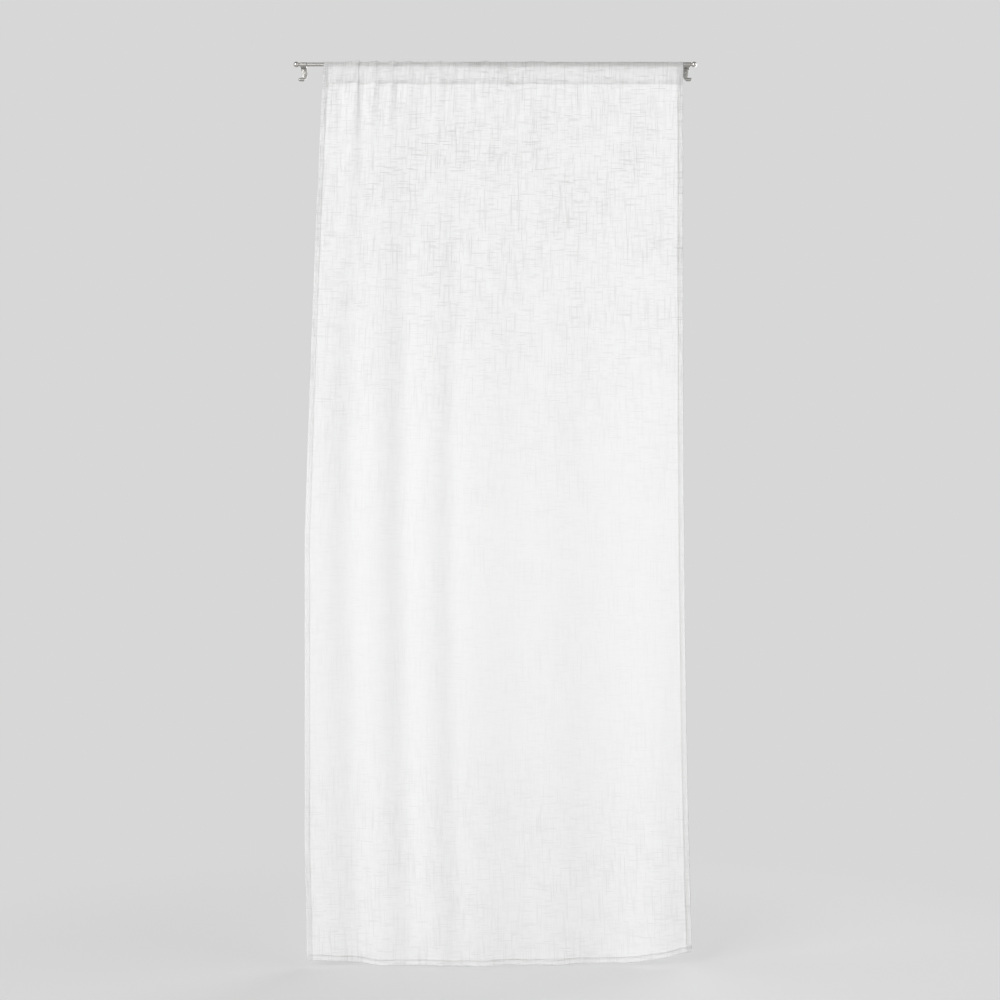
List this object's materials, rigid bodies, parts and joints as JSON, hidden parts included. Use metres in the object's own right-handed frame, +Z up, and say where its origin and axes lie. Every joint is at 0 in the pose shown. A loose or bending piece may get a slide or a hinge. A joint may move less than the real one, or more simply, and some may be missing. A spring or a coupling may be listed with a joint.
{
  "type": "door curtain on a telescopic rod",
  "caption": "Sheer white door curtain with a rod pocket, gathered on a slim telescopic rod with ball ends, held by screwed brackets with a round foot.",
  "frame": {"origin": "centre of the four-screw pattern, on the face of the door", "axes": "+X along the rod to the right seen from the room, +Y into the door, +Z up"},
  "size_m": [0.8966, 0.0547, 2.0082],
  "materials": {
    "cloth": "sheer slub weave",
    "rod": "satin nickel",
    "ball": "polished nickel",
    "bracket": "satin nickel on cast zinc",
    "screw": "nickel plated"
  },
  "bodies": {
    "brackets_and_rod": {"bracket_left": "bracket", "bracket_right": "bracket", "screw_left_top": "screw", "screw_left_low": "screw", "screw_right_top": "screw", "screw_right_low": "screw", "outer_tube": "rod", "ball_end_right": "ball"},
    "inner_rod": {"inner_tube": "rod", "ball_end_left": "ball"},
    "curtain": {"curtain_panel": "cloth"}
  },
  "joints": [
    {"name": "rod_extend", "type": "slide", "parent": "brackets_and_rod", "child": "inner_rod", "axis": [-1, 0, 0], "range_m": [-0.0045, 0.09]},
    {"name": "curtain_slide", "type": "slide", "parent": "brackets_and_rod", "child": "curtain", "axis": [-1, 0, 0], "range_m": [0, 0.038]}
  ]
}
